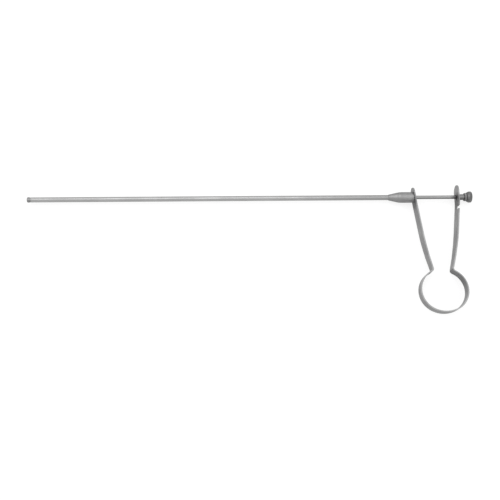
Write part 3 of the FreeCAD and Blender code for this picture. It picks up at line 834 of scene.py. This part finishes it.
    def bent(self) -> BMesh:
        """The blank bent along the strip's middle line."""
        bends = self.bends()
        bm = self.blank(sum(b.length for b in bends))
        start = 0.0
        for bend in bends:
            slices = max(1, round(abs(math.degrees(bend.turn)) / self.degrees_per_slice))
            for step in range(slices + 1):
                cut_across(bm, start + bend.length * step / slices, X_AXIS)
            start += bend.length
        vertex_layer(bm, PAINTED_SHADE_AND_DARKENING)
        inside = [v for v in bm.verts if v.co.y < -STRIP_THICKNESS / 2 + self.rim_round / 2]
        for vert in bm.verts:
            vert.co = self.bend_point(bends, self.front, vert.co)
        bmesh.ops.recalc_face_normals(bm, faces=bm.faces[:])
        self.painted_shade_and_darkening(bm, inside)
        return bm

    def painted_shade_and_darkening(self, bm: BMesh, inside: list[BMVert]) -> None:
        """Paints shade on the slot's walls about the rod, and a little painted shade on the inside of the
        upper bow.

        Args:
            bm: The bent strip.
            inside: The vertices on the strip's inner face.
        """
        layer, wear = vertex_layer(bm, PAINTED_SHADE_AND_DARKENING), vertex_layer(bm, WEAR)
        # Painted shade on the inner face of the bow, fainter towards its bottom.
        for vert in inside:
            if vert.co.y < self.bow_side_radius - self.bow_drop:
                share = (vert.co.y + self.bow_shade_end) / self.bow_shade_fade
                vert[layer] = self.bow_shade * min(1.0, max(0.0, share))
        # Painted shade on the rounded slot walls close to the rod's axis.
        for vert in bm.verts:
            close = vert.co.x > self.middle_x and vert.co.yz.length < self.shaded_reach
            if close and vert[wear] > 0:
                vert[layer] = 1.0

    def bend_point(self, bends: list[Bend], head: Head, flat: Vector) -> Vector:
        """Where a point of the flat blank lies once the strip is bent.

        Args:
            bends: The strip's bends in order.
            head: The head that the strip starts from.
            flat: The point, along the strip, out of its face and across it.

        Returns:
            The point in the object's frame.
        """
        place = Vector((self.middle_x - self.head_out(head), head.rise, 0))
        heading = head.lean
        left = flat.x
        for index, bend in enumerate(bends):
            last = index == len(bends) - 1
            travel = left if last else min(left, bend.length)
            forward, inward, turn = bend.place(travel)
            ahead = Vector((math.sin(heading), -math.cos(heading), 0))
            side = Vector((math.cos(heading), math.sin(heading), 0))
            place += ahead * forward + side * inward
            heading += turn
            left -= travel
            if left <= 0:
                break
        side = Vector((math.cos(heading), math.sin(heading), 0))
        return place - side * flat.y + Vector((0, 0, flat.z))

    def build(self, finishes: dict[str, Material]) -> list[Object]:
        """Builds the strip, which flexes at its bow when the handle is squeezed."""
        strip = make_piece(
            "spring_strip", self.bent(), finishes["blasted_strip"], "handle_steel",
            "front_arm", "bow_spring", "rear_arm",
        )
        flex = self.flex_reach
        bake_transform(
            strip, "root", "rear_arm",
            start=(self.middle_x - flex, 0, 0), end=(self.middle_x + flex, 0, 0),
        )
        return [strip]


@dataclass
class Rod:
    """The rod that works the claws, with its collet and its sleeve."""

    radius: float = 1.75 * MM
    nose_radius: float = 1.0 * MM
    neck_radius: float = 1.1 * MM
    stud_radius: float = 1.5 * MM
    neck_length: float = 2.2 * MM
    edge_round: float = 0.12 * MM
    steps: int = 64
    cup_radius: float = 1.5 * MM
    cup_depth: float = 1.8 * MM
    collet_bore: float = 1.03 * MM
    collet_web_end: float = 4.15 * MM
    collet_steps: int = 48
    sleeve_gap: float = 0.05 * MM
    sleeve_round: float = 0.2 * MM
    sleeve_soil: float = 0.45
    # Painted shade on the undersides of the rod and the sleeve, and along this last length of the rod before
    # its neck
    underside_shade: float = 0.75
    shaded_length: float = 6.0 * MM

    def rod(self) -> BMesh:
        """The rod with the neck that lies in the hook slot."""
        low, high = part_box("drive_rod")
        collet_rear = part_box("claw_collet")[1].x
        neck_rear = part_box("thrust_sleeve")[0].x
        neck_front = neck_rear - self.neck_length
        shade_start = neck_front - self.shaded_length
        bm = turned([
            Corner(low.x, 0.0),
            Corner(low.x, self.nose_radius),
            Corner(collet_rear, self.nose_radius),
            Corner(collet_rear, self.radius, self.edge_round),
            Corner(shade_start, self.radius),
            Corner(neck_front, self.radius, self.edge_round),
            Corner(neck_front, self.neck_radius),
            Corner(neck_rear, self.neck_radius),
            Corner(neck_rear, self.stud_radius),
            Corner(high.x, self.stud_radius, self.edge_round),
            Corner(high.x, 0.0),
        ], steps=self.steps)
        # Painted shade on the rod's underside.
        darken_and_shade_underside(bm, 0.0, self.underside_shade)
        # Painted shade on the rod's last stretch before its neck, where it goes into the rear arm's slot,
        # full on the neck and the stud.
        darken_towards(bm, shade_start, neck_front, 1.0)
        return bm

    def collet(self) -> BMesh:
        """The collet that holds the claws' legs."""
        low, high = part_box("claw_collet")
        cup_end, web_end = low.x + self.cup_depth, low.x + self.collet_web_end
        return turned([
            Corner(low.x, self.cup_radius, self.edge_round),
            Corner(low.x, high.y, self.edge_round),
            Corner(high.x, high.y, self.edge_round),
            Corner(high.x, self.collet_bore),
            Corner(web_end, self.collet_bore),
            Corner(web_end, 0.0),
            Corner(cup_end, 0.0),
            Corner(cup_end, self.cup_radius),
        ], steps=self.collet_steps)

    def sleeve(self) -> BMesh:
        """The thrust sleeve behind the rear arm."""
        low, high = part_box("thrust_sleeve")
        bore = self.stud_radius + self.sleeve_gap
        bm = turned([
            Corner(low.x, bore, self.edge_round),
            Corner(low.x, high.y, self.sleeve_round),
            Corner(high.x, high.y, self.sleeve_round),
            Corner(high.x, bore, self.edge_round),
        ], steps=self.steps)
        # A darker tone all over the sleeve, and painted shade on its underside.
        darken_and_shade_underside(bm, self.sleeve_soil, self.underside_shade)
        return bm

    def build(self, finishes: dict[str, Material]) -> list[Object]:
        """Builds the rod, the collet and the sleeve."""
        rod = make_piece("rod", self.rod(), finishes["ground_rod"], "rod_steel", "drive_rod")
        collet = make_piece("collet", self.collet(), finishes["ground_rod"], "rod_steel", "claw_collet")
        sleeve = make_piece("sleeve", self.sleeve(), finishes["ground_rod"], "rod_steel", "thrust_sleeve")
        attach(rod, "rod")
        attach(collet, "rod")
        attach(sleeve, "slider")
        return [rod, collet, sleeve]


@dataclass
class KnurledEnd:
    """The lock nut and the thumb knob, knurled for the fingers."""

    bore: float = 1.53 * MM
    bore_depth: float = 3.4 * MM
    groove_depth: float = 0.25 * MM
    steps_per_groove: int = 4
    nut_radius: float = 4.05 * MM
    nut_grooves: int = 28
    nut_chamfer: float = 0.5 * MM
    nut_edge: tuple[float, int] = (0.08 * MM, 2)
    knob_radius: float = 5.5 * MM
    knob_grooves: int = 36
    knob_edge: tuple[float, int] = (0.12 * MM, 3)
    front_depth: float = 1.1 * MM
    front_length: float = 2.1 * MM
    front_round: float = 0.5 * MM
    rear_chamfer: float = 0.5 * MM
    dome_height: float = 0.5 * MM
    dome_steps: int = 6
    sharp: float = 30.0
    # Painted shade on the nut's underside; a darker tone at the nut's front and over the whole knob
    underside_shade: float = 0.5
    front_darkening: float = 0.2
    knob_soil: float = 0.6

    def knurled(self, corners: list[Corner], rim: float, grooves: int) -> BMesh:
        """Turns a profile and presses straight grooves into its rim.

        Args:
            corners: The profile.
            rim: The radius of the rim.
            grooves: The number of grooves.

        Returns:
            The knurled mesh.
        """
        steps = grooves * self.steps_per_groove
        bm = turned(corners, steps=steps)
        floor = rim - self.groove_depth
        for vert in bm.verts:
            out = math.hypot(vert.co.y, vert.co.z)
            column = round(math.atan2(vert.co.z, vert.co.y) / FULL_TURN * steps)
            if out > floor and column % self.steps_per_groove == 0:
                vert.co.yz *= floor / out
        bmesh.ops.recalc_face_normals(bm, faces=bm.faces[:])
        return bm

    def nut(self) -> BMesh:
        """The round lock nut."""
        low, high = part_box("lock_nut")
        rim, cut = self.nut_radius, self.nut_chamfer
        bm = self.knurled([
            Corner(low.x, self.bore),
            Corner(low.x, rim - cut, *self.nut_edge),
            Corner(low.x + cut, rim, *self.nut_edge),
            Corner(high.x - cut, rim, *self.nut_edge),
            Corner(high.x, rim - cut, *self.nut_edge),
            Corner(high.x, self.bore),
        ], rim, self.nut_grooves)
        # Painted shade on the nut's underside, and a darker tone towards its front.
        darken_and_shade_underside(bm, 0.0, self.underside_shade)
        darken_towards(bm, high.x, low.x, self.front_darkening)
        return bm

    def dome(self, rear: float, edge: float) -> list[Corner]:
        """Corners of the knob's domed end, from its edge in to the axis."""
        radius = (edge**2 + self.dome_height**2) / (2 * self.dome_height)
        outs = [edge * (1 - step / self.dome_steps) for step in range(1, self.dome_steps)]
        return [Corner(rear - radius + math.sqrt(radius**2 - out**2), out) for out in outs]

    def knob(self) -> BMesh:
        """The thumb knob with its slightly domed end."""
        low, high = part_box("thumb_knob")
        rim, edge = self.knob_radius, self.knob_radius - self.rear_chamfer
        rim_rear = high.x - self.dome_height
        bm = self.knurled([
            Corner(low.x, self.bore),
            Corner(low.x, rim - self.front_depth, *self.knob_edge),
            Corner(low.x + self.front_length, rim, self.front_round),
            Corner(rim_rear - self.rear_chamfer, rim, *self.knob_edge),
            Corner(rim_rear, edge, *self.knob_edge),
            *self.dome(high.x, edge),
            Corner(high.x, 0.0),
            Corner(low.x + self.bore_depth, 0.0),
            Corner(low.x + self.bore_depth, self.bore),
        ], rim, self.knob_grooves)
        darken_and_shade_underside(bm, self.knob_soil, 0.0)
        return bm

    def build(self, finishes: dict[str, Material]) -> list[Object]:
        """Builds both pieces."""
        nut = make_piece(
            "nut", self.nut(), finishes["knurled"], "knob_steel", "lock_nut", sharp_angle=self.sharp,
        )
        knob = make_piece(
            "knob", self.knob(), finishes["knurled"], "knob_steel", "thumb_knob", sharp_angle=self.sharp,
        )
        for piece in (nut, knob):
            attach(piece, "rod")
        return [nut, knob]


@dataclass
class Claws:
    """The three spring claws, hooked inwards at the tip."""

    count: int = 3
    mouth_gap: float = 0.1 * MM
    head_length: float = 3.6 * MM
    rear_radius: float = 2.35 * MM
    front_radius: float = 2.7 * MM
    tip_radius: float = 2.4 * MM
    tip_chamfer: float = 0.6 * MM
    wall: float = 0.55 * MM
    hook_radius: float = 0.4 * MM
    split: float = 0.15 * MM
    steps: int = 28
    edge: tuple[float, int] = (0.12 * MM, 3)
    tip_edge: tuple[float, int] = (0.2 * MM, 4)
    inner_edge: tuple[float, int] = (0.2 * MM, 3)
    leg_radius: float = 0.38 * MM
    leg_offset: float = 0.5 * MM
    leg_steps: int = 20

    def claw(self, number: int) -> BMesh:
        """One claw, a third of a hooked cup on a spring leg."""
        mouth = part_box("sheath_tube")[0].x
        leg_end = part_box("claw_1")[1].x
        rear = mouth - self.mouth_gap
        front = mouth - self.head_length
        share = FULL_TURN / self.count - self.split / self.rear_radius
        bm = turned([
            Corner(rear, self.hook_radius),
            Corner(rear, self.rear_radius, *self.edge),
            Corner(front + self.tip_chamfer, self.front_radius, *self.tip_edge),
            Corner(front, self.tip_radius, *self.tip_edge),
            Corner(front, self.hook_radius, *self.edge),
            Corner(front + self.wall, self.hook_radius),
            Corner(front + self.wall, self.front_radius - self.wall, *self.inner_edge),
            Corner(rear - self.wall, self.rear_radius - self.wall, *self.inner_edge),
            Corner(rear - self.wall, self.hook_radius),
        ], steps=self.steps, angle=share)
        leg = bmesh.ops.create_cone(
            bm, cap_ends=True, segments=self.leg_steps, radius1=self.leg_radius, radius2=self.leg_radius,
            depth=leg_end - rear + self.wall,
        )
        middle = (leg_end + rear - self.wall) / 2
        turn_verts(bm, leg["verts"], QUARTER_TURN, "Y")
        bmesh.ops.translate(bm, verts=leg["verts"], vec=(middle, self.leg_offset, 0))
        turn_verts(bm, bm.verts[:], QUARTER_TURN + FULL_TURN / self.count * (number - 1), "X")
        return bm

    def build(self, finishes: dict[str, Material]) -> list[Object]:
        """Builds the claws."""
        made = []
        for number in range(1, self.count + 1):
            name = f"claw_{number}"
            piece = make_piece(
                f"hook_{number}", self.claw(number), finishes["dark_claw"], "claw_steel", name,
            )
            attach(piece, name)
            made.append(piece)
        return made


# Stage


@dataclass
class Stage:
    """The pale floor, the soft light and the camera."""

    floor_half: float = 3.0
    floor_gap: float = 0.05 * MM
    floor_tone: float = 0.3
    floor_roughness: float = 0.9
    floor_gloss: float = 0.1
    floor_lift: float = 0.78
    world_light: float = 0.7
    camera_distance: float = 651.5 * MM
    camera_tilt: float = math.radians(15.84)
    camera_roll: float = math.radians(0.38)
    camera_lens: float = 48.08
    camera_sensor: float = 36.0
    camera_clip: tuple[float, float] = (0.01, 20.0)
    target: tuple[float, float, float] = (-138.35 * MM, -53.4 * MM, 0.0)

    def floor(self) -> None:
        """A wide pale floor that the handle's lower rims lie on."""
        bm = bmesh.new()
        bmesh.ops.create_grid(bm, x_segments=1, y_segments=1, size=self.floor_half)
        level = cad_box[0].z - self.floor_gap
        bmesh.ops.translate(bm, verts=bm.verts[:], vec=(0, 0, level))
        mesh = bpy.data.meshes.new("floor")
        bm.to_mesh(mesh)
        bm.free()
        mesh.materials.append(self.floor_paint())
        floor = add_object("floor", mesh)

    def floor_paint(self) -> Material:
        """White paint that the camera and reflections see lifted to plain white."""
        material = bpy.data.materials.new("pale_floor")
        material.use_nodes = True
        tree = material.node_tree
        feed(tree, tree.nodes["Principled BSDF"], {
            "Base Color": grey(self.floor_tone),
            "Roughness": self.floor_roughness,
            "Specular IOR Level": self.floor_gloss,
            "Emission Color": grey(1.0),
            "Emission Strength": add_math(tree, "MULTIPLY", self.seen(tree), self.floor_lift),
        })
        return material

    def seen(self, tree: NodeTree) -> NodeSocket:
        """One where the camera, a reflection or glass looks, and zero for light that falls."""
        rays = add_node(tree, "LightPath", {}).outputs
        seen = add_math(tree, "MAXIMUM", rays["Is Camera Ray"], rays["Is Glossy Ray"])
        return add_math(tree, "MAXIMUM", seen, rays["Is Transmission Ray"])

    def world(self) -> None:
        """Soft white light from all round, which the camera and the metal see at full strength."""
        world = bpy.data.worlds.new("studio")
        world.use_nodes = True
        bpy.context.scene.world = world
        tree = world.node_tree
        hidden = 1 - self.world_light
        strength = add_math(tree, "MULTIPLY_ADD", self.seen(tree), hidden, self.world_light)
        feed(tree, tree.nodes["Background"], {"Color": grey(1.0), "Strength": strength})

    def lamp(self, name: str, place: tuple[float, float, float], size: float, power: float) -> None:
        """A square soft box that faces the middle of the object."""
        data = bpy.data.lights.new(name, "AREA")
        data.shape = "SQUARE"
        data.size = size
        data.energy = power
        lamp = add_object(name, data)
        lamp.location = place
        aim = Vector(self.target) - Vector(place)
        lamp.rotation_euler = aim.to_track_quat("-Z", "Y").to_euler()

    def camera(self) -> None:
        """The camera, above the object and a little towards its bow."""
        data = bpy.data.cameras.new("camera")
        data.sensor_width = self.camera_sensor
        data.lens = self.camera_lens
        data.clip_start, data.clip_end = self.camera_clip
        camera = add_object("camera", data)
        up = Vector((0, math.cos(self.camera_tilt), math.sin(self.camera_tilt)))
        back = X_AXIS.cross(up)
        cosine, sine = math.cos(self.camera_roll), math.sin(self.camera_roll)
        turned_right = X_AXIS * cosine - up * sine
        turned_up = X_AXIS * sine + up * cosine
        basis = Matrix((turned_right, turned_up, back)).transposed().to_4x4()
        basis.translation = Vector(self.target) + back * self.camera_distance
        camera.matrix_world = basis
        bpy.context.scene.camera = camera

    def build(self) -> None:
        """Sets the whole stage."""
        self.floor()
        self.world()
        self.camera()
        self.lamp("key", (-0.35, 0.35, 1.3), size=1.2, power=6.0)
        self.lamp("fill", (0.75, -0.25, 1.0), size=0.8, power=2.0)
        bpy.context.scene.view_settings.view_transform = "Standard"


def make_finishes() -> dict[str, Material]:
    """Builds every steel finish of the instrument."""
    made = fine_grain_group(), handling_group(), axis_shade_group(), rim_wear_group()
    groups = {group.name: group for group in made}
    finishes = [
        SteelFinish("drawn_tube", 0.39, 0.38, Grain.ALONG_SHAFT, 5000.0),
        SteelFinish("turned_socket", 0.29, 0.48, Grain.AROUND_SHAFT, 4500.0),
        SteelFinish(
            "blasted_strip", 0.36, 0.52, Grain.BLASTED, 3500.0, worn_roughness=0.45, worn_lift=1.0,
            axis_shade_reach=3.6 * MM, edge_tone=0.78, cloud_share=0.14,
        ),
        SteelFinish("ground_rod", 0.335, 0.34, Grain.ALONG_SHAFT, 6000.0),
        SteelFinish("knurled", 0.31, 0.42, Grain.AROUND_SHAFT, 4500.0),
        SteelFinish("dark_claw", 0.26, 0.38, Grain.BLASTED, 5000.0, grain_depth=0.006 * MM),
    ]
    return {finish.name: finish.build(groups) for finish in finishes}


def main() -> None:
    """Builds the instrument and its stage, and reports each piece."""
    logging.basicConfig(level=logging.INFO, format="%(message)s")
    finishes = make_finishes()
    for part in (Shaft(), SpringStrip(), Rod(), KnurledEnd(), Claws()):
        for piece in part.build(finishes):
            log.info("%s: %d faces", piece.name, len(piece.data.polygons))
    Stage().build()


if __name__ == "__main__":
    main()
